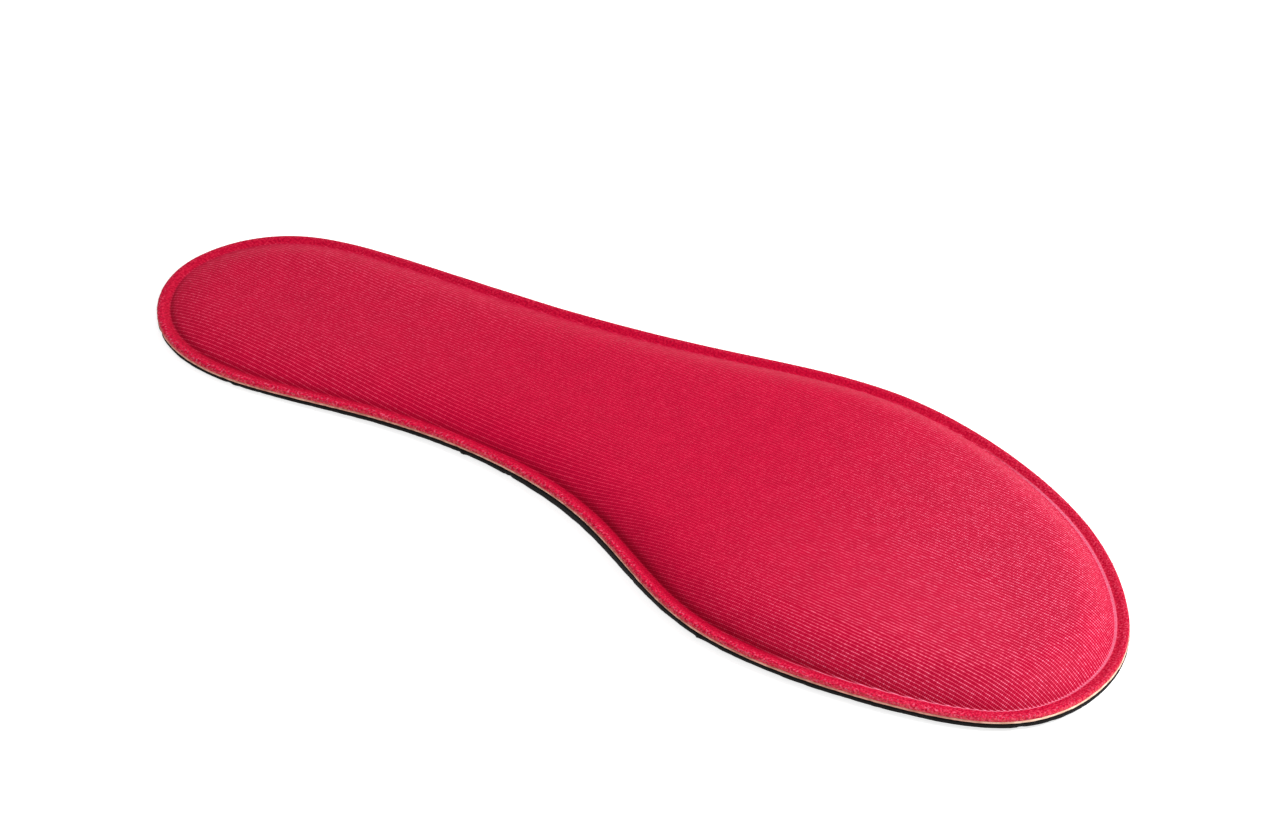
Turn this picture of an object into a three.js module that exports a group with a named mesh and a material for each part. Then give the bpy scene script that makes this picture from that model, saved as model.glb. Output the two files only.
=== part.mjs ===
// A cushioned shoe insole for the left foot, lying flat with its fabric side up.
//
// Units are millimetres. +X points to the toe, +Y to the outer side of the foot and +Z up. The
// origin is under the middle of the insole's bounding box, on the surface it lies on.
//
// The insole is a bonded stack of sheets cut by one die: a knit cover, an adhesive film, a soft
// foam core, a second film and a firm foam base. A hot press has squeezed the stack to a thin
// rim all round and left the middle as a pillow that thickens evenly from heel to toe.

import * as THREE from 'three';

// Thickness of each sheet in the middle of the insole; the core grows from heel to toe
const BASE_MIDDLE = 1.7;
const CORE_HEEL = 2.0;
const CORE_TOE = 6.4;
const MIDDLE_END_X = 120;
const FILM = 0.1;
const COVER = 0.7;

// Thickness of the two foams where the press has squeezed them along the rim
const BASE_RIM = 1.2;
const CORE_RIM = 0.55;

// The heel's rim is pressed harder than the rest
const HEEL_SQUEEZE = 0.4;
const HEEL_START_X = -50;
const HEEL_FULL_X = -105;

// Beside the arch the rim's underside stays down and the base is left thicker, up to this much
// higher on top
const ARCH_EXTRA = 0.35;
const ARCH_CENTRE_X = 12;
const ARCH_HALF_LENGTH = 48;

// Cross-section, by distance in from the cut edge
const EDGE_ROUND = 0.6;
const EDGE_DROP = 0.35;
const CREASE_START = 2.6;
const CREASE = 3.4;
const CREASE_DEPTH = 0.25;
const PILLOW_WALL = 11.6;
const PILLOW_POWER = 2.5;
const LEVEL = CREASE + PILLOW_WALL;
const UNDERSIDE_LIFT = 0.9;
const UNDERSIDE_SLOPE = 10.5;

// Bonded faces are drawn this far apart, so that neighbouring solids never share a face
const BOND_GAP = 0.05;

// Landmarks of the cut line, anticlockwise seen from above, starting at the back of the heel
const CUT_LINE = [
  [-135, -8], [-123, -30], [-93, -36],   // heel, inner side
  [-45, -27], [6, -31],                  // hollow of the arch
  [49, -48], [98, -45],                  // ball of the foot, inner side
  [128, -31], [135, -5], [122, 19],      // big toe round to the small toes
  [94, 39], [47, 50],                    // ball of the foot, outer side
  [0, 41], [-50, 31],                    // outer side of the waist
  [-98, 26], [-125, 15],                 // heel, outer side
];
const STEPS_PER_LANDMARK = 5;

// Rings of the mesh, by distance in from the cut line; the last one bounds the level middle
const RINGS = [0, EDGE_ROUND, CREASE_START, CREASE, 4.8, 6.5, 8.5, UNDERSIDE_SLOPE, LEVEL];

// Control points of the closed cubic B-spline that passes through the given points
function controlPoints(points) {
  const count = points.length;
  const control = points.map((point) => point.clone());
  for (let pass = 0; pass < 30; pass++) {
    for (let i = 0; i < count; i++) {
      const neighbours = control[(i + count - 1) % count].clone().add(control[(i + 1) % count]);
      control[i].copy(points[i]).multiplyScalar(6).sub(neighbours).divideScalar(4);
    }
  }
  return control;
}

// Point and unit inward normal of the cut line at every step
function cutLine() {
  const landmarks = CUT_LINE.map(([x, y]) => new THREE.Vector2(x, y));
  const control = controlPoints(landmarks);
  const count = control.length;
  const stations = [];
  for (let i = 0; i < count; i++) {
    const corners = [-1, 0, 1, 2].map((offset) => control[(i + offset + count) % count]);
    for (let step = 0; step < STEPS_PER_LANDMARK; step++) {
      const t = step / STEPS_PER_LANDMARK;
      const s = 1 - t;
      const weights = [s ** 3, 3 * t ** 3 - 6 * t ** 2 + 4, 3 * s ** 3 - 6 * s ** 2 + 4, t ** 3];
      const slopes = [-(s ** 2), 3 * t ** 2 - 4 * t, 4 * s - 3 * s ** 2, t ** 2];
      const point = new THREE.Vector2();
      const tangent = new THREE.Vector2();
      corners.forEach((corner, k) => {
        point.addScaledVector(corner, weights[k] / 6);
        tangent.addScaledVector(corner, slopes[k] / 2);
      });
      const inward = new THREE.Vector2(-tangent.y, tangent.x).normalize();
      stations.push({ point, inward });
    }
  }
  return stations;
}

const stations = cutLine();

// 0 at the crease, 1 on the level middle, with a rounded shoulder between them
function pillow(inset) {
  const u = THREE.MathUtils.clamp((inset - CREASE) / PILLOW_WALL, 0, 1);
  return 1 - (1 - u) ** PILLOW_POWER;
}

// Core thickness that the pillow reaches at a place
function coreMiddle(place) {
  return THREE.MathUtils.mapLinear(place.x, -MIDDLE_END_X, MIDDLE_END_X, CORE_HEEL, CORE_TOE);
}

// 1 on the inner side beside the arch, falling to 0 toward the heel and the toe
function besideArch(place) {
  if (place.y > 0) return 0;
  const along = Math.min(Math.abs(place.x - ARCH_CENTRE_X) / ARCH_HALF_LENGTH, 1);
  return Math.cos((along * Math.PI) / 2) ** 2;
}

// How much thinner the rim is at a place, from 0 over most of the insole to the full squeeze at
// the heel
function heelSqueeze(place) {
  return HEEL_SQUEEZE * THREE.MathUtils.smoothstep(-place.x, -HEEL_START_X, -HEEL_FULL_X);
}

// How far the press lifts the stack along the rim
function rimLift(inset, place) {
  const u = THREE.MathUtils.clamp(1 - inset / UNDERSIDE_SLOPE, 0, 1);
  return (UNDERSIDE_LIFT - heelSqueeze(place)) * u ** 2;
}

// Height of each face of the stack, from the bottom up
const faces = {
  baseBottom: (inset, place) => rimLift(inset, place) * (1 - besideArch(place)),
  baseTop: (inset, place) => {
    const rim = BASE_RIM - heelSqueeze(place);
    const thickness = THREE.MathUtils.lerp(rim, BASE_MIDDLE, pillow(inset));
    const extra = ARCH_EXTRA * besideArch(place) * (1 - (inset / LEVEL) ** 2);
    return rimLift(inset, place) + thickness + extra;
  },
  coreBottom: (inset, place) => faces.baseTop(inset, place) + 2 * BOND_GAP + FILM,
  coreTop: (inset, place) => {
    const thickness = THREE.MathUtils.lerp(CORE_RIM, coreMiddle(place), pillow(inset));
    return faces.coreBottom(inset, place) + thickness;
  },
  coverBottom: (inset, place) => faces.coreTop(inset, place) + 2 * BOND_GAP + FILM,
  coverTop: (inset, place) => {
    const rolled = inset < EDGE_ROUND ? EDGE_DROP : 0;
    const creased = inset === CREASE ? CREASE_DEPTH : 0;
    return faces.coverBottom(inset, place) + COVER - rolled - creased;
  },
};

// Bottom and top of the film that lies in the gap above the given face
function film(below) {
  const bottom = (inset, place) => faces[below](inset, place) + BOND_GAP;
  const top = (inset, place) => bottom(inset, place) + FILM;
  return [bottom, top];
}

// Closed geometry of one sheet between two height functions
function sheetGeometry(bottom, top) {
  const positions = [];
  const indices = [];
  const around = stations.length;
  const layerSize = around * RINGS.length;

  for (const height of [bottom, top]) {
    for (const inset of RINGS) {
      for (const { point, inward } of stations) {
        const place = point.clone().addScaledVector(inward, inset);
        positions.push(place.x, place.y, height(inset, place));
      }
    }
  }

  const quad = (a, b, c, d) => indices.push(a, b, c, a, c, d);
  for (let i = 0; i < around; i++) {
    const j = (i + 1) % around;
    quad(i, j, layerSize + j, layerSize + i);
    for (let ring = 0; ring < RINGS.length - 1; ring++) {
      const outer = ring * around;
      const inner = outer + around;
      quad(outer + i, inner + i, inner + j, outer + j);
      quad(layerSize + outer + i, layerSize + outer + j, layerSize + inner + j, layerSize + inner + i);
    }
  }

  const lastRing = layerSize - around;
  const middle = stations.map(({ point, inward }) => {
    return point.clone().addScaledVector(inward, RINGS[RINGS.length - 1]);
  });
  for (const [a, b, c] of THREE.ShapeUtils.triangulateShape(middle, [])) {
    indices.push(lastRing + a, lastRing + c, lastRing + b);
    indices.push(layerSize + lastRing + a, layerSize + lastRing + b, layerSize + lastRing + c);
  }

  const geometry = new THREE.BufferGeometry();
  geometry.setAttribute('position', new THREE.Float32BufferAttribute(positions, 3));
  geometry.setIndex(indices);
  geometry.computeVertexNormals();
  return geometry;
}

function sheet(name, [bottom, top], color, roughness) {
  const material = new THREE.MeshStandardMaterial({ color, roughness, metalness: 0 });
  const mesh = new THREE.Mesh(sheetGeometry(bottom, top), material);
  mesh.name = name;
  return mesh;
}

const insole = new THREE.Group();
insole.name = 'cushioned_insole';
insole.add(
  sheet('base_sheet', [faces.baseBottom, faces.baseTop], 0x343032, 0.9),
  sheet('base_adhesive', film('baseTop'), 0xe6dcc8, 0.5),
  sheet('cushion_core', [faces.coreBottom, faces.coreTop], 0xe0a892, 0.9),
  sheet('cover_adhesive', film('coreTop'), 0xe6dcc8, 0.5),
  sheet('top_cover', [faces.coverBottom, faces.coverTop], 0xd01c46, 0.8),
);

export default insole;
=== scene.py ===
import math
import random

import bpy
import numpy as np
from mathutils import Matrix, Vector, noise
from mathutils.bvhtree import BVHTree


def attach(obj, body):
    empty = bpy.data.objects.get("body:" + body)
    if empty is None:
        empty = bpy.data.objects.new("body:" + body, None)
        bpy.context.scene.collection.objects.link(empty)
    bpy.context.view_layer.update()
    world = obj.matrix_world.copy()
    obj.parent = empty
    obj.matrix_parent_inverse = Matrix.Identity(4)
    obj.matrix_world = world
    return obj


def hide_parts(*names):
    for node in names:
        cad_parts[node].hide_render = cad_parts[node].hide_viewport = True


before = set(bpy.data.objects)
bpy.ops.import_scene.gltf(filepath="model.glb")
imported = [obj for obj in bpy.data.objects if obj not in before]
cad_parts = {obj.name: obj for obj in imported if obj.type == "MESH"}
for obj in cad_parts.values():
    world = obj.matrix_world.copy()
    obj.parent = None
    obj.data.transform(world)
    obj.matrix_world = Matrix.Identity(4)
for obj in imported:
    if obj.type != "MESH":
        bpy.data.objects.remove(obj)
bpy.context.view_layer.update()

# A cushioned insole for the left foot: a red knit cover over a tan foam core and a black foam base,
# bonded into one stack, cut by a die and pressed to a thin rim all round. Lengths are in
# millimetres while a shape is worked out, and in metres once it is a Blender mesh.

MM = 0.001
BODY = "root"

# ---------------------------------------------------------------------------------------------
# Dimensions
# ---------------------------------------------------------------------------------------------

# Landmarks of the cut line, anticlockwise seen from above, starting at the back of the heel
CUT_LINE = [
    (-135, -8), (-123, -30), (-93, -36),   # heel, inner side
    (-45, -27), (6, -31),                  # hollow of the arch
    (49, -48), (98, -45),                  # ball of the foot, inner side
    (128, -31), (135, -5), (122, 19),      # big toe round to the small toes
    (94, 39), (47, 50),                    # ball of the foot, outer side
    (0, 41), (-50, 31),                    # outer side of the waist
    (-98, 26), (-125, 15),                 # heel, outer side
]

# Thickness of the sheets in the middle and along the pressed rim; the core grows toward the toe
BASE_MIDDLE, BASE_RIM = 1.7, 1.2
CORE_HEEL, CORE_TOE, CORE_RIM = 2.0, 6.4, 0.55
MIDDLE_END_X = 120
FILM = 0.1
COVER = 0.7
BOND_GAP = 0.05
JOIN = FILM + 2 * BOND_GAP

# The heel's rim is pressed harder; beside the arch the underside stays down and the base is thicker
HEEL_SQUEEZE = 0.4
HEEL_START_X, HEEL_FULL_X = -50, -105
ARCH_EXTRA = 0.35
ARCH_CENTRE_X, ARCH_HALF_LENGTH = 12, 48

# Cross-section, by distance in from the cut line
EDGE_RADIUS = 0.6
RIM_MIDDLE, RIM_BULGE, RIM_WIDTH = 1.3, 0.22, 0.9
LIP, LIP_HEIGHT, LIP_WIDTH = 3.05, 0.14, 0.22
CREASE, CREASE_DEPTH, CREASE_WIDTH = 3.25, 0.28, 0.75
TOE_CREASE_DEPTH, TOE_CREASE_WIDTH = 0.24, 0.3
OUTER_CREASE_SHARE = 0.3
TOE_START_X, TOE_FULL_X = 60, 105
INNER_START_Y, INNER_FULL_Y = -5, -25
PILLOW_START, PILLOW_WALL, PILLOW_POWER = 3.4, 11.6, 2.5
LEVEL = PILLOW_START + PILLOW_WALL
UNDERSIDE_LIFT, UNDERSIDE_SLOPE = 0.9, 10.5


def smoothstep(x):
    x = np.clip(x, 0, 1)
    return x * x * (3 - 2 * x)


# ---------------------------------------------------------------------------------------------
# The cut line and the rings inside it
# ---------------------------------------------------------------------------------------------

STEPS_PER_LANDMARK = 100
TOE_LANDMARK = 8         # the landmark furthest toward the toe
MIDDLE_LINE = LEVEL + 24
MIDDLE_LINE_SHARE = 0.86


def spline_controls(points):
    """Control points of the closed cubic B-spline that passes through the given points."""
    count = len(points)
    weights = np.zeros((count, count))
    for i in range(count):
        weights[i, i] = 4 / 6
        weights[i, (i - 1) % count] = weights[i, (i + 1) % count] = 1 / 6
    return np.linalg.solve(weights, points)


def dense_cut_line():
    """Points along the whole cut line, a fixed number of them from each landmark to the next."""
    control = spline_controls(np.array(CUT_LINE, float))
    t = (np.arange(STEPS_PER_LANDMARK) / STEPS_PER_LANDMARK)[:, None]
    s = 1 - t
    weights = [s**3, 3 * t**3 - 6 * t**2 + 4, 3 * s**3 - 6 * s**2 + 4, t**3]
    spans = []
    for i in range(len(control)):
        corners = [control[(i + k) % len(control)] for k in (-1, 0, 1, 2)]
        spans.append(sum(w * c for w, c in zip(weights, corners)) / 6)
    return np.vstack(spans)


def evenly_spaced(path, count):
    """Points spaced evenly along a path, from its start and without its end."""
    along = np.r_[0, np.cumsum(np.hypot(*np.diff(path, axis=0).T))]
    wanted = np.arange(count) * along[-1] / count
    return np.c_[np.interp(wanted, along, path[:, 0]), np.interp(wanted, along, path[:, 1])]


class CutLine:
    """Stations on the cut line, as many on the inner side of the foot as on the outer.

    Station i and station count - i lie across from each other. Rings deeper than the edge of the
    level middle close in on a middle line, which the stations across from each other share."""

    def __init__(self, count):
        line = dense_cut_line()
        toe = TOE_LANDMARK * STEPS_PER_LANDMARK
        self.count = count
        self.half = count // 2
        inner_side = evenly_spaced(line[:toe + 1], self.half)
        outer_side = evenly_spaced(np.vstack([line[toe:], line[:1]]), self.half)
        self.point = np.vstack([inner_side, outer_side])
        ahead = np.roll(self.point, -1, axis=0)
        tangent = ahead - np.roll(self.point, 1, axis=0)
        self.tangent = tangent / np.linalg.norm(tangent, axis=1)[:, None]
        self.inward = np.c_[-self.tangent[:, 1], self.tangent[:, 0]]
        steps = np.linalg.norm(ahead - self.point, axis=1)
        self.length = steps.sum()
        self.along = np.r_[0, np.cumsum(steps)[:-1]]
        self.across = np.minimum(np.arange(count), count - np.arange(count))
        self.level = self.point + self.inward * LEVEL
        self.middle = self.middle_line()[self.across]

    def middle_line(self):
        """One point for each pair of stations, drawn in from the heel and the toe."""
        pairs = (self.count - np.arange(self.count)) % self.count
        centre = (self.level + self.level[pairs])[:self.half + 1] / 2
        x = centre[:, 0] * MIDDLE_LINE_SHARE
        return np.c_[x, np.interp(x, centre[:, 0], centre[:, 1])]

    def ring(self, inset):
        """Plan of the ring at this distance in from the cut line."""
        inset = np.broadcast_to(np.asarray(inset, float), (self.count,))
        plan = self.point + self.inward * np.minimum(inset, LEVEL)[:, None]
        toward = np.clip((inset - LEVEL) / (MIDDLE_LINE - LEVEL), 0, 1)[:, None]
        return plan + (self.middle - plan) * toward


# ---------------------------------------------------------------------------------------------
# Heights of the faces of the stack
# ---------------------------------------------------------------------------------------------


def pillow(inset):
    """0 at the crease, 1 on the level middle, with a rounded shoulder between them."""
    u = np.clip((inset - PILLOW_START) / PILLOW_WALL, 0, 1)
    return 1 - (1 - u) ** PILLOW_POWER


def core_middle(x):
    """Core thickness that the pillow reaches at this distance toward the toe."""
    toward_toe = (x + MIDDLE_END_X) / (2 * MIDDLE_END_X)
    return CORE_HEEL + (CORE_TOE - CORE_HEEL) * toward_toe


def heel_squeeze(x):
    return HEEL_SQUEEZE * smoothstep((HEEL_START_X - x) / (HEEL_START_X - HEEL_FULL_X))


def beside_arch(plan):
    """1 on the inner side beside the arch, falling to 0 toward the heel and the toe."""
    x, y = plan.T
    along = np.clip(np.abs(x - ARCH_CENTRE_X) / ARCH_HALF_LENGTH, 0, 1)
    return np.where(y < 0, np.cos(along * math.pi / 2) ** 2, 0)


def rim_lift(plan, inset):
    """How far the press lifts the stack along the rim."""
    u = np.clip(1 - inset / UNDERSIDE_SLOPE, 0, 1)
    return (UNDERSIDE_LIFT - heel_squeeze(plan[:, 0])) * u**2


def underside(line, inset):
    plan = line.ring(inset)
    return rim_lift(plan, inset) * (1 - beside_arch(plan))


def base_top(line, inset):
    plan = line.ring(inset)
    rim = BASE_RIM - heel_squeeze(plan[:, 0])
    thickness = rim + (BASE_MIDDLE - rim) * pillow(inset)
    extra = ARCH_EXTRA * beside_arch(plan) * (1 - np.clip(inset / LEVEL, 0, 1) ** 2)
    return rim_lift(plan, inset) + thickness + extra


def core_bottom(line, inset):
    return base_top(line, inset) + JOIN


def core_top(line, inset):
    full = core_middle(line.ring(inset)[:, 0])
    return core_bottom(line, inset) + CORE_RIM + (full - CORE_RIM) * pillow(inset)


def cover_bottom(line, inset):
    return core_top(line, inset) + JOIN


def bell(inset, centre, width):
    return np.exp(-(((inset - centre) / width) ** 2))


def cover_top(line, inset):
    """The knit's face: rolled over at the cut edge and sinking into a crease beside the pillow.
    The crease is deepest on the inner side; round the toe it is narrow, with a lip before it."""
    inset = np.asarray(inset, float)
    x, y = line.point.T
    toe = smoothstep((x - TOE_START_X) / (TOE_FULL_X - TOE_START_X))
    inner_side = smoothstep((INNER_START_Y - y) / (INNER_START_Y - INNER_FULL_Y))
    share = OUTER_CREASE_SHARE + (1 - OUTER_CREASE_SHARE) * inner_side
    depth = share * (CREASE_DEPTH + (TOE_CREASE_DEPTH - CREASE_DEPTH) * toe)
    width = CREASE_WIDTH + (TOE_CREASE_WIDTH - CREASE_WIDTH) * toe

    short = np.clip(EDGE_RADIUS - inset, 0, None)
    rolled = EDGE_RADIUS - np.sqrt(EDGE_RADIUS**2 - short**2)
    bulge = RIM_BULGE * bell(inset, RIM_MIDDLE, RIM_WIDTH)
    lip = LIP_HEIGHT * toe * bell(inset, LIP, LIP_WIDTH)
    crease = depth * bell(inset, CREASE, width)
    return cover_bottom(line, inset) + COVER - rolled + bulge + lip - crease


# ---------------------------------------------------------------------------------------------
# Mesh helpers
# ---------------------------------------------------------------------------------------------


def new_object(name, vertices, faces, smooth=True):
    """A mesh object at the origin, from vertices in millimetres."""
    mesh = bpy.data.meshes.new(name)
    mesh.from_pydata((np.asarray(vertices) * MM).tolist(), [], faces)
    mesh.validate()
    if smooth:
        mesh.polygons.foreach_set("use_smooth", [True] * len(mesh.polygons))
    obj = bpy.data.objects.new(name, mesh)
    bpy.context.scene.collection.objects.link(obj)
    return obj


def loft(name, line, rings):
    """A mesh through rings of (inset, height), facing out when they run from the underside's
    middle round the edge to the top's middle. A ring on the middle line is welded shut."""
    vertices = []
    insets = []
    rows = []
    for inset, height in rings:
        points = np.c_[line.ring(inset), np.broadcast_to(height, (line.count,))]
        inset = np.broadcast_to(inset, (line.count,))
        closed = inset.min() >= MIDDLE_LINE
        row = line.across if closed else np.arange(line.count)
        rows.append((row + len(vertices)).tolist())
        vertices.extend(points[:row.max() + 1])
        insets.extend(np.minimum(inset, LEVEL)[:row.max() + 1])
    faces = []
    for here, onward in zip(rows, rows[1:]):
        for i in range(line.count):
            j = (i + 1) % line.count
            faces.append((here[i], here[j], onward[j], onward[i]))
    obj = new_object(name, vertices, faces)
    add_attribute(obj, "inset", insets)
    return obj


def add_attribute(obj, name, values):
    """Stores one number or one vector for each vertex."""
    values = np.asarray(values, np.float32)
    kind, field = ("FLOAT", "value") if values.ndim == 1 else ("FLOAT_VECTOR", "vector")
    attribute = obj.data.attributes.new(name, kind, "POINT")
    attribute.data.foreach_set(field, values.ravel())


def apply_modifiers(obj):
    graph = bpy.context.evaluated_depsgraph_get()
    mesh = bpy.data.meshes.new_from_object(obj.evaluated_get(graph))
    obj.modifiers.clear()
    old = obj.data
    obj.data = mesh
    bpy.data.meshes.remove(old)


def points_of(obj):
    points = np.empty(len(obj.data.vertices) * 3)
    obj.data.vertices.foreach_get("co", points)
    return points.reshape(-1, 3) / MM


def set_points(obj, points):
    obj.data.vertices.foreach_set("co", (np.asarray(points) * MM).ravel())
    obj.data.update()


def edge_noise(line, period, seed):
    """Smooth noise along the cut edge, from about -1 to 1."""
    radius = line.length / (2 * math.pi * period)
    angle = line.along / line.length * 2 * math.pi
    return np.array([
        noise.noise(Vector((radius * math.cos(a), radius * math.sin(a), seed))) * 1.8
        for a in angle
    ])


# ---------------------------------------------------------------------------------------------
# Knit cover
# ---------------------------------------------------------------------------------------------

COVER_STATIONS = 440
EDGE_RINGS = [0.2, 0.38, 0.6]
RIM_RINGS = [1.0, 1.4, 1.8, 2.2, 2.55, 2.8, 2.95, 3.05, 3.15, 3.28, 3.42, 3.58, 3.8]
WALL_RINGS = [4.2, 4.8, 5.5, 6.4, 7.4, 8.5, 9.7, 11, 12.3, 13.7, LEVEL]
MIDDLE_RINGS = [LEVEL + (MIDDLE_LINE - LEVEL) * k / 12 for k in range(1, 13)]
SKIRT = 0.35             # how far the knit's face comes down over its cut edge
EDGE_UNEVEN, EDGE_PERIOD = 0.06, 1.6
HELD_INSET = PILLOW_START + 0.2
CLOTH_FRAMES = 20
CLOTH_PRESSURE = 1.2
CLOTH_CAP = 0.5          # the furthest that the cloth may move
KNIT_THICKNESS = 0.6
DENT_HEIGHT, DENT_PERIOD = 0.05, 9
GRAIN_HEIGHT, GRAIN_PERIOD = 0.02, 2.4

# The press stretches the knit across the walls of the heel and the waist, not at the toe
WALL_STRETCH = 0.24
STRETCH_START_X, STRETCH_FULL_X = 35, 0
STRETCH_FULL_INSET, STRETCH_END_INSET = 12, 24


def knit_stretch(x, inset):
    """How much wider than at rest the knit's loops are at a place."""
    toward_heel = smoothstep((STRETCH_START_X - x) / (STRETCH_START_X - STRETCH_FULL_X))
    inward = (inset - STRETCH_FULL_INSET) / (STRETCH_END_INSET - STRETCH_FULL_INSET)
    return 1 + WALL_STRETCH * toward_heel * (1 - smoothstep(inward))


def knit_places(line, rings):
    """Where each vertex lies on the knit when it is taken off and laid out flat."""
    places = []
    slack = np.zeros(line.count)
    inner_plan, inner_height = line.ring(rings[-1][0]), rings[-1][1]
    for inset, height in reversed(rings):
        plan = line.ring(inset)
        flat = np.linalg.norm(plan - inner_plan, axis=1)
        surface = np.hypot(flat, height - inner_height)
        slack = slack + surface / knit_stretch(plan[:, 0], inset) - flat
        places.append(np.c_[plan - line.inward * slack[:, None], np.zeros(line.count)])
        inner_plan, inner_height = plan, height
    places[0] = places[0][:line.half + 1]
    return np.vstack(places[::-1])


def cover_face():
    """The knit's upper face as one open sheet, from the foot of its cut edge to the middle."""
    line = CutLine(COVER_STATIONS)
    uneven = [EDGE_UNEVEN * edge_noise(line, EDGE_PERIOD, seed) for seed in (21.5, 22.5)]
    rings = [
        (0.1 + uneven[0], cover_top(line, 0) - SKIRT),
        (0.05 + uneven[0], cover_top(line, 0) - SKIRT / 2),
        (0.06 + uneven[1], cover_top(line, 0.06)),
    ]
    for inset in EDGE_RINGS + RIM_RINGS + WALL_RINGS + MIDDLE_RINGS:
        rings.append((inset, cover_top(line, inset)))
    obj = loft("knit_cover", line, rings)
    add_attribute(obj, "knit_place", knit_places(line, rings))
    return obj


def simulate_cover(obj):
    """Cloth pushed up by the foam under it, held all round by the pressed rim and crease."""
    before = points_of(obj)
    inset = np.empty(len(before), np.float32)
    obj.data.attributes["inset"].data.foreach_get("value", inset)
    held = obj.vertex_groups.new(name="held")
    held.add([int(i) for i in np.nonzero(inset <= HELD_INSET)[0]], 1.0, "ADD")

    cloth = obj.modifiers.new("cloth", "CLOTH")
    cloth.settings.quality = 6
    cloth.settings.mass = 0.2
    cloth.settings.tension_stiffness = 20
    cloth.settings.compression_stiffness = 20
    cloth.settings.shear_stiffness = 8
    cloth.settings.bending_stiffness = 2
    cloth.settings.air_damping = 8
    cloth.settings.use_pressure = True
    cloth.settings.uniform_pressure_force = CLOTH_PRESSURE
    cloth.settings.vertex_group_mass = held.name
    cloth.settings.effector_weights.gravity = 0
    cloth.collision_settings.use_collision = False
    cloth.point_cache.frame_start = 1
    cloth.point_cache.frame_end = CLOTH_FRAMES
    for step in range(1, CLOTH_FRAMES + 1):
        bpy.context.scene.frame_set(step)
    apply_modifiers(obj)
    bpy.context.scene.frame_set(1)

    moved = points_of(obj) - before
    size = np.linalg.norm(moved, axis=1)[:, None]
    limited = moved * np.minimum(1, CLOTH_CAP / np.maximum(size, 1e-9))
    set_points(obj, before + limited)
    print("cloth moved the cover by up to", round(float(size.max()), 3), "mm")


def finish_cover(obj):
    """Subdivides the face, roughens it slightly and gives it the knit's thickness."""
    subdivision = obj.modifiers.new("subdivision", "SUBSURF")
    subdivision.levels = subdivision.render_levels = 1
    apply_modifiers(obj)
    points = points_of(obj)
    for p in points:
        x, y = p[:2]
        p[2] += DENT_HEIGHT * noise.noise(Vector((x / DENT_PERIOD, y / DENT_PERIOD, 3.1)))
        p[2] += GRAIN_HEIGHT * noise.noise(Vector((x / GRAIN_PERIOD, y / GRAIN_PERIOD, 8.4)))
    set_points(obj, points)
    solid = obj.modifiers.new("thickness", "SOLIDIFY")
    solid.thickness = KNIT_THICKNESS * MM
    solid.offset = -1
    apply_modifiers(obj)
    obj.data.polygons.foreach_set("use_smooth", [True] * len(obj.data.polygons))


# ---------------------------------------------------------------------------------------------
# Foam core, films and base
# ---------------------------------------------------------------------------------------------

CORE_STATIONS = 640
BASE_STATIONS = 960
FILM_STATIONS = 240
FILM_DRAWN = 0.06
EDGE_SWELL = 0.08        # how far each foam swells toward the film at the cut edge
EDGE_CLEARANCE = 0.03
KNIT_CLEARANCE = 0.12 + BOND_GAP
DEEP_RINGS = [LEVEL, LEVEL + 6, LEVEL + 12, LEVEL + 18, MIDDLE_LINE]
CORE_LOWER_RINGS = [1.0, 3.0, 7.0, UNDERSIDE_SLOPE] + DEEP_RINGS
CORE_UPPER_RINGS = [0.8, 1.6, 2.4, 3.0, 3.45, 4.2, 5.2, 6.5, 8, 10, 12.5] + DEEP_RINGS
FILM_RINGS = [0.35, 1.6, 3.3, 4.2, 5.5, 8, UNDERSIDE_SLOPE, 13] + DEEP_RINGS
UNDERSIDE_RINGS = [0.5, 0.9, 1.5, 2.3, 3.2, 4.2, 5.4, 6.8, 8.4, UNDERSIDE_SLOPE] + DEEP_RINGS
BASE_TOP_RINGS = [1.2, 3.4, 6.5, UNDERSIDE_SLOPE] + DEEP_RINGS


def height_under(tree, line, inset, fallback):
    """Height of the cover's lower face over each station of a ring."""
    heights = np.array(fallback, float)
    for i, (x, y) in enumerate(line.ring(inset)):
        hit = tree.ray_cast(Vector((x, y, 0)) * MM, Vector((0, 0, 1)))[0]
        if hit is not None:
            heights[i] = hit.z / MM
    return heights


def make_core(cover_tree):
    line = CutLine(CORE_STATIONS)
    rough = [0.05 * edge_noise(line, 0.9, seed) for seed in (1.5, 4.5, 7.5)]

    def top(inset, clearance):
        usual = cover_bottom(line, inset) + 0.1
        return height_under(cover_tree, line, inset, usual) - clearance

    rings = [(inset, core_bottom(line, inset)) for inset in reversed(CORE_LOWER_RINGS)]
    low = core_bottom(line, 0.0) - EDGE_SWELL
    high = cover_top(line, 0) - SKIRT - EDGE_CLEARANCE
    rings.append((0.12 + rough[0], low))
    for k, part in enumerate((0.15, 0.5, 0.85)):
        rings.append((0.02 + rough[k], low + (high - low) * part))
    rings.append((0.12 + rough[1], high))
    rings.append((0.72, high))
    for inset in CORE_UPPER_RINGS:
        rings.append((inset, top(inset, EDGE_CLEARANCE if inset < 1 else KNIT_CLEARANCE)))
    return loft("foam_core", line, rings)


def make_film(name, bottom):
    """A bond film, thin all over and set in from the cut edge."""
    line = CutLine(FILM_STATIONS)
    rings = [(d, bottom(line, d) + BOND_GAP) for d in reversed(FILM_RINGS)]
    rings += [(d, bottom(line, d) + BOND_GAP + FILM_DRAWN) for d in FILM_RINGS]
    return loft(name, line, rings)


NICKS = 38
NICK_WIDTH = (0.3, 1.0)
NICK_DEPTH = (-0.42, 0.3)
CUT_WAVE, CUT_WAVE_PERIOD = 0.07, 4.0
CUT_GRAIN, CUT_GRAIN_PERIOD = 0.035, 0.8

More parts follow.
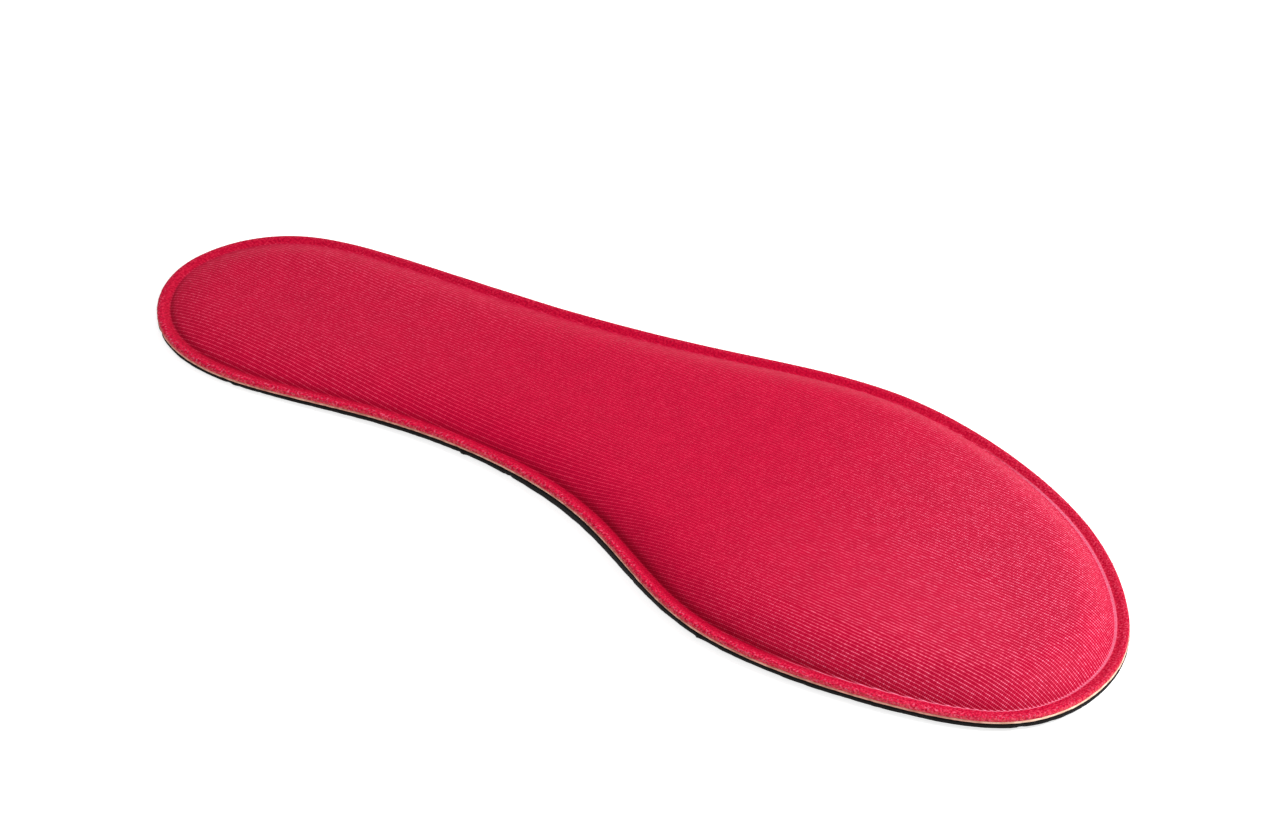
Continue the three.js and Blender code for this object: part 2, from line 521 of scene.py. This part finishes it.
# The base's cut face from the bottom up: distance in from the cut line, share of the wave and
# nicks, which of the grains, and share of the face's height
CUT_FACE = [
    (0.2, 1.0, 0, 0.0),
    (0.04, 1.0, 1, 0.1),
    (0.0, 1.0, 2, 0.35),
    (0.02, 0.8, 3, 0.6),
    (0.06, 0.6, 1, 0.78),
]


def nick_profile(line, rng):
    """Small burrs and nicks that the die leaves along the cut edge."""
    profile = np.zeros(line.count)
    for _ in range(NICKS):
        centre = rng.uniform(0, line.length)
        width = rng.uniform(*NICK_WIDTH)
        depth = rng.uniform(*NICK_DEPTH)
        away = np.abs(line.along - centre)
        away = np.minimum(away, line.length - away)
        profile += depth * np.exp(-((away / width) ** 2))
    return profile


def make_base():
    line = CutLine(BASE_STATIONS)
    rng = random.Random(11)
    cut = CUT_WAVE * edge_noise(line, CUT_WAVE_PERIOD, 2.5) + nick_profile(line, rng)
    grain = [CUT_GRAIN * edge_noise(line, CUT_GRAIN_PERIOD, seed) for seed in (3.5, 5.5, 9.5, 12.5)]
    low = underside(line, 0.0)
    high = base_top(line, 0.0) + EDGE_SWELL
    tall = high - low

    rings = [(inset, underside(line, inset)) for inset in reversed(UNDERSIDE_RINGS)]
    for inset, share, which, part in CUT_FACE:
        rings.append((inset + cut * share + grain[which], low + part * tall))
    rings.append((0.42 + cut * 0.3, low + 0.84 * tall))
    rings.append((0.45, high))
    rings += [(inset, base_top(line, inset)) for inset in BASE_TOP_RINGS]
    return loft("foam_base", line, rings)


# ---------------------------------------------------------------------------------------------
# Fibres on the cut edge of the knit
# ---------------------------------------------------------------------------------------------

FIBRES = 2600
FIBRE_STATIONS = 4000
FIBRE_RADIUS = 0.03
FIBRE_SIDES = 3
FIBRE_TAPER = 0.7
FIBRE_LENGTH = (0.22, 0.6)
FIBRE_BEND = 0.35
FIBRE_ZONE = 0.45        # fibres start this close to the cut line


def fibre(path, radius, vertices, faces):
    """Adds a closed three-sided tapering fibre along a path."""
    first = len(vertices)
    for step, point in enumerate(path):
        ahead = path[min(step + 1, len(path) - 1)] - path[max(step - 1, 0)]
        ahead.normalize()
        across = ahead.cross(Vector((0, 0, 1)))
        if across.length < 1e-6:
            across = Vector((1, 0, 0))
        across.normalize()
        other = ahead.cross(across)
        size = radius * (1 - FIBRE_TAPER * step / (len(path) - 1))
        for k in range(FIBRE_SIDES):
            a = 2 * math.pi * k / FIBRE_SIDES
            vertices.append(tuple(point + (across * math.cos(a) + other * math.sin(a)) * size))
    for step in range(len(path) - 1):
        for k in range(FIBRE_SIDES):
            a = first + step * FIBRE_SIDES + k
            b = first + step * FIBRE_SIDES + (k + 1) % FIBRE_SIDES
            faces.append((a, b, b + FIBRE_SIDES, a + FIBRE_SIDES))
    last = first + (len(path) - 1) * FIBRE_SIDES
    faces.append((first + 2, first + 1, first))
    faces.append((last, last + 1, last + 2))


def make_fibres():
    rng = random.Random(5)
    line = CutLine(FIBRE_STATIONS)
    edge_height = cover_top(line, np.zeros(line.count))
    vertices, faces = [], []
    for _ in range(FIBRES):
        i = rng.randrange(line.count)
        inset = rng.uniform(0.0, FIBRE_ZONE)
        short = EDGE_RADIUS - inset
        rise = math.sqrt(EDGE_RADIUS**2 - short**2)
        x, y = line.point[i] + line.inward[i] * (inset + 0.05)
        start = Vector((x, y, edge_height[i] + rise - rng.uniform(0, SKIRT)))
        outward = Vector((*(-line.inward[i]), 0))
        sideways = Vector((*line.tangent[i], 0)) * rng.uniform(-1.2, 1.2)
        up = Vector((0, 0, 1)) * rng.uniform(-0.5, 1.0)
        heading = (outward * (1 - inset) + sideways + up).normalized()
        bend = Vector((rng.uniform(-1, 1), rng.uniform(-1, 1), rng.uniform(-1, 0.3))) * FIBRE_BEND
        length = rng.uniform(*FIBRE_LENGTH)
        path = [start + (heading * t + bend * t * t) * length for t in (0, 0.5, 1)]
        fibre(path, FIBRE_RADIUS, vertices, faces)
    return new_object("edge_fibres", vertices, faces)


# ---------------------------------------------------------------------------------------------
# Materials
# ---------------------------------------------------------------------------------------------


class Nodes:
    """Short calls for building one material's node tree."""

    def __init__(self, name):
        self.material = bpy.data.materials.new(name)
        self.material.use_nodes = True
        self.tree = self.material.node_tree
        self.shader = self.tree.nodes["Principled BSDF"]

    def node(self, kind, inputs=None, **settings):
        made = self.tree.nodes.new(kind)
        for key, value in settings.items():
            setattr(made, key, value)
        for key, value in (inputs or {}).items():
            self.put(made.inputs[key], value)
        return made

    def put(self, socket, value):
        if isinstance(value, bpy.types.NodeSocket):
            self.tree.links.new(value, socket)
        else:
            socket.default_value = value

    def math(self, operation, a, b=0.0, c=0.0):
        return self.node("ShaderNodeMath", {0: a, 1: b, 2: c}, operation=operation).outputs[0]

    def times(self, first, *others):
        for other in others:
            first = self.math("MULTIPLY", first, other)
        return first

    def linear(self, value, gain, offset):
        return self.math("MULTIPLY_ADD", value, gain, offset)

    def invert(self, value):
        return self.math("SUBTRACT", 1.0, value)

    def blend(self, factor, a, b):
        """The number a where the factor is 0 and b where it is 1."""
        return self.linear(factor, self.math("SUBTRACT", b, a), a)

    def mix(self, factor, a, b):
        made = self.node("ShaderNodeMix", data_type="RGBA")
        self.put(made.inputs["Factor"], factor)
        self.put(made.inputs["A"], a)
        self.put(made.inputs["B"], b)
        return made.outputs["Result"]

    def ramp(self, value, low, high):
        """0 where value is low, 1 where it is high, smooth between."""
        made = self.node("ShaderNodeMapRange", {"Value": value, "From Min": low, "From Max": high},
                         interpolation_type="SMOOTHSTEP")
        return made.outputs["Result"]

    def millimetres(self):
        place = self.node("ShaderNodeTexCoord").outputs["Object"]
        scaled = self.node("ShaderNodeVectorMath", {0: place}, operation="SCALE")
        scaled.inputs["Scale"].default_value = 1 / MM
        return scaled.outputs[0]

    def noise(self, place, scale, detail=2.0):
        made = self.node("ShaderNodeTexNoise",
                         {"Vector": place, "Scale": scale, "Detail": detail})
        return made.outputs["Fac"]

    def attribute(self, name):
        return self.node("ShaderNodeAttribute", attribute_name=name).outputs["Fac"]

    def vector_attribute(self, name):
        return self.node("ShaderNodeAttribute", attribute_name=name).outputs["Vector"]

    def wave(self, turns):
        """0 to 1 and back, once per turn, with its crest on whole turns."""
        return self.linear(self.math("COSINE", self.times(turns, 2 * math.pi)), 0.5, 0.5)

    def band(self, value, centre, half_width):
        """1 where value is at the centre, falling to 0 at half_width from it."""
        away = self.math("ABSOLUTE", self.math("SUBTRACT", value, centre))
        return self.invert(self.ramp(away, 0.0, half_width))

    def bump(self, height, distance, strength):
        made = self.node("ShaderNodeBump",
                         {"Height": height, "Distance": distance * MM, "Strength": strength})
        return made.outputs["Normal"]

    def finish(self, **inputs):
        for key, value in inputs.items():
            self.put(self.shader.inputs[key.replace("_", " ")], value)
        return self.material


WALE_PITCH = 0.83
COURSE_PITCH = 0.456
THREAD_SHARE = 0.5       # how far each rib is parted into its two threads
# The groove colour is painted shade between the ribs of the knit.
KNIT_GROOVE_SHADE = (0.30, 0.0, 0.018, 1)
KNIT_YARN = (0.57, 0.0, 0.036, 1)
# The glint colour is a painted highlight: on the loops' crests, on the rim and on the toe's lip.
KNIT_GLINT = (0.98, 0.33, 0.50, 1)
KNIT_RIM = (0.58, 0.0, 0.034, 1)
# A shaded copy of the rim's red: painted shade for the rim on the outer side.
KNIT_SHADED_FAR_RIM = (0.48, 0.0, 0.025, 1)
# The crease colour is painted shade in and beside the crease.
KNIT_CREASE_SHADE = (0.24, 0.0, 0.010, 1)
KNIT_FRAY = (0.78, 0.16, 0.15, 1)


def knit_turns(n, place):
    """How many courses and wales lie between the middle and a place, a little uneven."""
    wobble = n.node("ShaderNodeTexNoise", {"Vector": place, "Scale": 0.3, "Detail": 1.0})
    shift = n.node("ShaderNodeVectorMath", {0: wobble.outputs["Color"], 1: (0.5, 0.5, 0.5)},
                   operation="SUBTRACT")
    shifted = n.node("ShaderNodeVectorMath", {0: shift.outputs[0], 1: (0.15, 0.2, 0.0), 2: place},
                     operation="MULTIPLY_ADD")
    axes = n.node("ShaderNodeSeparateXYZ", {0: shifted.outputs[0]})
    course = n.math("DIVIDE", axes.outputs["X"], COURSE_PITCH)
    wale = n.math("DIVIDE", axes.outputs["Y"], WALE_PITCH)
    return course, wale


def loop_chance(n, course, wale):
    """One random value for each loop of the knit."""
    loop = n.node("ShaderNodeCombineXYZ", {
        "X": n.math("FLOOR", n.math("ADD", course, 0.5)),
        "Y": n.math("FLOOR", n.math("ADD", wale, 0.5)),
    })
    return n.node("ShaderNodeTexWhiteNoise", {"Vector": loop.outputs[0]}).outputs["Value"]


class CoverZones:
    """Masks from 0 to 1 for the parts of the cover where the knit looks different."""

    def __init__(self, n, place):
        axes = n.node("ShaderNodeSeparateXYZ", {0: place})
        self.x = axes.outputs["X"]
        self.inset = n.attribute("inset")
        self.toe = n.ramp(self.x, 65.0, 105.0)
        self.heel = n.invert(n.ramp(self.x, -80.0, -20.0))
        self.inner = n.invert(n.ramp(axes.outputs["Y"], -30.0, -8.0))
        self.rim = n.invert(n.ramp(self.inset, 2.9, 3.3))


def crest_highlight_strength(n, place, zones):
    """Painted highlight on the crests of the loops: strongest toward the toe, less at the heel,
    least in the waist and on the pressed rim.
    """
    stretched = n.node("ShaderNodeVectorMath", {0: place, 1: (0.5, 1.5, 1.0)}, operation="MULTIPLY")
    streak = n.ramp(n.noise(stretched.outputs[0], 0.9), 0.35, 0.68)
    shine = n.linear(n.ramp(zones.x, 25.0, 115.0), 0.62, n.linear(zones.heel, 0.14, 0.13))
    return n.times(shine, n.linear(streak, 0.35, 0.8), n.linear(zones.rim, -0.75, 1.0))


def rim_fuzz_and_highlight(n, place, zones):
    """Pale flecks on the outer half of the pressed rim: the knit's fuzz, with a painted highlight
    on the rim's rounded top, stronger on the inner side.
    """
    outer_half = n.invert(n.ramp(zones.inset, 0.8, 1.9))
    fleck = n.ramp(n.noise(place, 1.7), 0.5, 0.72)
    return n.times(outer_half, fleck, n.linear(zones.inner, 0.18, 0.1))


def crease_shade(n, zones):
    """Painted shade: darkest in the crease, fading over the rim and up the pillow; strong past the
    arch and on the inner side, faint at the toe.
    """
    into = n.ramp(zones.inset, 0.8, 2.7)
    out = n.invert(n.ramp(zones.inset, 3.2, 5.4))
    past_arch = n.times(n.ramp(zones.x, -25.0, 15.0), n.invert(n.ramp(zones.x, 30.0, 95.0)))
    # Strength of the painted shade: more past the arch and on the inner side.
    crease_shade_strength = n.times(n.linear(past_arch, 0.14, 0.48), n.linear(zones.inner, 0.9, 0.1))
    return n.times(into, out, crease_shade_strength, n.linear(zones.toe, -0.85, 1.0))


def lip_highlight(n, wale_wave, zones):
    """A painted highlight on the lip round the toe, broken into dashes by the ribs on the inner
    side.
    """
    even = n.times(n.invert(zones.inner), 0.5)
    dashed = n.linear(n.ramp(wale_wave, 0.25, 0.75), zones.inner, even)
    return n.times(dashed, n.band(zones.inset, LIP + 0.1, 0.45), zones.toe)


def edge_fray(n, place, zones):
    """Pale broken yarn along the cut edge."""
    at_edge = n.invert(n.ramp(zones.inset, 0.05, 0.5))
    return n.times(at_edge, n.ramp(n.noise(place, 1.4, 3.0), 0.4, 0.65), 0.35)


def knit_colour(n, place, loop, wale_wave, chance, zones):
    """Painted shade between the loops, red on them and a painted pink highlight at their crests, by
    zone of the cover.
    """
    patch = n.math("SUBTRACT", n.noise(place, 0.16, 3.0), 0.5)
    depth = n.linear(patch, 0.22, n.linear(chance, 0.12, loop))
    # The rim's red is painted darker on the outer side, as painted shade.
    rim = n.mix(zones.inner, KNIT_SHADED_FAR_RIM, KNIT_RIM)
    # Painted shade in the grooves between the ribs, over the yarn's red.
    colour = n.mix(n.ramp(depth, 0.0, 0.85), KNIT_GROOVE_SHADE, n.mix(zones.rim, KNIT_YARN, rim))

    bright = n.linear(n.math("POWER", chance, 2.0), 0.65, 0.28)
    # Painted highlight on the crests of the loops.
    crest = n.times(n.ramp(loop, 0.25, 0.95), bright, crest_highlight_strength(n, place, zones))
    colour = n.mix(crest, colour, KNIT_GLINT)
    colour = n.mix(rim_fuzz_and_highlight(n, place, zones), colour, KNIT_GLINT)
    colour = n.mix(crease_shade(n, zones), colour, KNIT_CREASE_SHADE)
    colour = n.mix(lip_highlight(n, wale_wave, zones), colour, KNIT_GLINT)
    return n.mix(edge_fray(n, place, zones), colour, KNIT_FRAY)


def knit_material():
    n = Nodes("knit")
    place = n.vector_attribute("knit_place")
    zones = CoverZones(n, place)
    course, wale = knit_turns(n, place)
    wale_wave = n.wave(wale)
    rib = n.blend(THREAD_SHARE, wale_wave, n.wave(n.times(wale, 2.0)))
    ribbed = n.times(rib, n.linear(n.wave(course), 0.5, 0.5))
    matted = n.ramp(n.noise(place, 2.0), 0.3, 0.7)
    loop = n.blend(n.times(zones.rim, 0.65), ribbed, matted)
    chance = loop_chance(n, course, wale)
    height = n.linear(n.noise(place, 5.0), 0.15, loop)
    return n.finish(Base_Color=knit_colour(n, place, loop, wale_wave, chance, zones),
                    Normal=n.bump(height, 0.13, 0.5), Roughness=0.48, Specular_IOR_Level=0.03,
                    Sheen_Weight=0.015, Sheen_Roughness=0.35, Sheen_Tint=(1.0, 0.3, 0.45, 1))


def fibre_material():
    n = Nodes("fibre")
    tone = n.noise(n.millimetres(), 0.7, 1.0)
    colour = n.mix(n.ramp(tone, 0.3, 0.7), KNIT_RIM, KNIT_FRAY)
    return n.finish(Base_Color=colour, Roughness=0.6)


def core_material():
    n = Nodes("core_foam")
    place = n.millimetres()
    pores = n.node("ShaderNodeTexVoronoi", {"Vector": place, "Scale": 3.2}).outputs["Distance"]
    tone = n.ramp(n.noise(place, 0.5, 3.0), 0.3, 0.7)
    at_toe = n.ramp(n.node("ShaderNodeSeparateXYZ", {0: place}).outputs["X"], 112.0, 130.0)
    tan = n.mix(tone, (0.42, 0.15, 0.11, 1), (0.70, 0.34, 0.26, 1))
    cream = n.mix(tone, (0.66, 0.40, 0.28, 1), (0.88, 0.66, 0.50, 1))
    colour = n.mix(at_toe, tan, cream)
    colour = n.mix(n.invert(n.ramp(pores, 0.05, 0.3)), colour, (0.34, 0.13, 0.09, 1))
    return n.finish(Base_Color=colour, Roughness=0.85, Normal=n.bump(pores, 0.12, 0.6),
                    Specular_IOR_Level=0.25)


def film_material(name):
    n = Nodes(name)
    tone = n.noise(n.millimetres(), 0.4, 2.0)
    colour = n.mix(tone, (0.72, 0.66, 0.55, 1), (0.86, 0.81, 0.72, 1))
    return n.finish(Base_Color=colour, Roughness=0.45, Normal=n.bump(tone, 0.05, 0.4))


def base_material():
    n = Nodes("base_foam")
    place = n.millimetres()
    grain = n.noise(place, 2.6, 4.0)
    mottle = n.noise(place, 0.22, 3.0)
    speck = n.node("ShaderNodeTexVoronoi", {"Vector": place, "Scale": 1.7}).outputs["Distance"]
    skin = n.mix(n.ramp(mottle, 0.3, 0.7), (0.012, 0.011, 0.011, 1), (0.019, 0.017, 0.017, 1))
    skin = n.mix(n.times(n.ramp(grain, 0.58, 0.75), 0.5), skin, (0.050, 0.045, 0.045, 1))
    on_face = n.ramp(n.attribute("inset"), 0.3, 1.0)
    colour = n.mix(on_face, (0.0045, 0.0035, 0.0035, 1), skin)
    pits = n.times(n.invert(n.ramp(speck, 0.02, 0.2)), 0.5)
    colour = n.mix(pits, colour, (0.003, 0.002, 0.002, 1))
    relief = n.linear(grain, 0.7, n.times(speck, 0.5))
    return n.finish(Base_Color=colour, Roughness=0.75, Specular_IOR_Level=0.14,
                    Normal=n.bump(relief, 0.12, 0.7))


FLOOR_GLOW = 0.75


def floor_material():
    n = Nodes("floor")
    tone = n.noise(n.millimetres(), 0.01, 1.0)
    colour = n.mix(tone, (0.58, 0.58, 0.58, 1), (0.61, 0.61, 0.61, 1))
    return n.finish(Base_Color=colour, Roughness=0.7, Specular_IOR_Level=0.2,
                    Emission_Color=(1, 1, 1, 1), Emission_Strength=FLOOR_GLOW)


# ---------------------------------------------------------------------------------------------
# Stage, lights and camera
# ---------------------------------------------------------------------------------------------

CAMERA_AZIMUTH, CAMERA_ELEVATION, CAMERA_ROLL = 35.15, 38.0, -0.31
CAMERA_DISTANCE = 0.8817
CAMERA_TARGET = (-0.0069, 0.0141, 0.0)
CAMERA_LENS, SENSOR_WIDTH = 101.65, 36.0


def make_camera():
    azimuth, elevation, roll = (math.radians(a) for a in
                                (CAMERA_AZIMUTH, CAMERA_ELEVATION, CAMERA_ROLL))
    back = Vector((math.sin(azimuth) * math.cos(elevation),
                   -math.cos(azimuth) * math.cos(elevation), math.sin(elevation)))
    level = Vector((math.cos(azimuth), math.sin(azimuth), 0))
    upright = back.cross(level)
    right = level * math.cos(roll) + upright * math.sin(roll)
    up = back.cross(right)
    data = bpy.data.cameras.new("camera")
    data.lens = CAMERA_LENS
    data.sensor_width = SENSOR_WIDTH
    data.clip_start = 0.01
    camera = bpy.data.objects.new("camera", data)
    camera.matrix_world = Matrix.Translation(
        Vector(CAMERA_TARGET) + back * CAMERA_DISTANCE
    ) @ Matrix((right, up, back)).transposed().to_4x4()
    bpy.context.scene.collection.objects.link(camera)
    bpy.context.scene.camera = camera


# Name, place and size in metres, and power in watts; both shine toward the origin
LIGHTS = [
    ("key", (0.64, 0.34, 0.72), 0.45, 13),
    ("back", (-0.5, 1.1, 0.8), 0.8, 3),
]
WORLD_LIGHT = 0.55


def area_light(name, place, size, power):
    data = bpy.data.lights.new(name, "AREA")
    data.shape = "DISK"
    data.size = size
    data.energy = power
    light = bpy.data.objects.new(name, data)
    light.location = place
    light.rotation_mode = "QUATERNION"
    light.rotation_quaternion = (-Vector(place)).to_track_quat("-Z", "Y")
    bpy.context.scene.collection.objects.link(light)


# The floor is just clear of the underside, so that the two faces do not coincide
FLOOR_HALF = 3000
FLOOR_HEIGHT = -0.02


def make_stage():
    corners = [(x, y, FLOOR_HEIGHT) for x, y in
               ((-FLOOR_HALF, -FLOOR_HALF), (FLOOR_HALF, -FLOOR_HALF),
                (FLOOR_HALF, FLOOR_HALF), (-FLOOR_HALF, FLOOR_HALF))]
    floor = new_object("floor", corners, [(0, 1, 2, 3)], smooth=False)
    floor.data.materials.append(floor_material())

    world = bpy.data.worlds.new("studio")
    world.use_nodes = True
    background = world.node_tree.nodes["Background"]
    background.inputs["Color"].default_value = (1, 1, 1, 1)
    background.inputs["Strength"].default_value = WORLD_LIGHT
    bpy.context.scene.world = world
    for light in LIGHTS:
        area_light(*light)
    bpy.context.scene.view_settings.view_transform = "Standard"


# ---------------------------------------------------------------------------------------------
# Assembly
# ---------------------------------------------------------------------------------------------


def place_piece(obj, material, slot, *nodes):
    obj.data.materials.clear()
    obj.data.materials.append(material)
    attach(obj, BODY)
    if nodes:
        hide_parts(*nodes)


def tree_of(obj):
    graph = bpy.context.evaluated_depsgraph_get()
    return BVHTree.FromObject(obj, graph)


make_camera()
make_stage()

cover = cover_face()
simulate_cover(cover)
finish_cover(cover)
core = make_core(tree_of(cover))
base = make_base()
base_film = make_film("base_film", base_top)
cover_film = make_film("cover_film", core_top)
fibres = make_fibres()

place_piece(cover, knit_material(), "knit_cover", "top_cover")
place_piece(core, core_material(), "core_foam", "cushion_core")
place_piece(base, base_material(), "base_foam", "base_sheet")
place_piece(base_film, film_material("base_film"), "base_film", "base_adhesive")
place_piece(cover_film, film_material("cover_film"), "cover_film", "cover_adhesive")
place_piece(fibres, fibre_material(), "knit_cover")
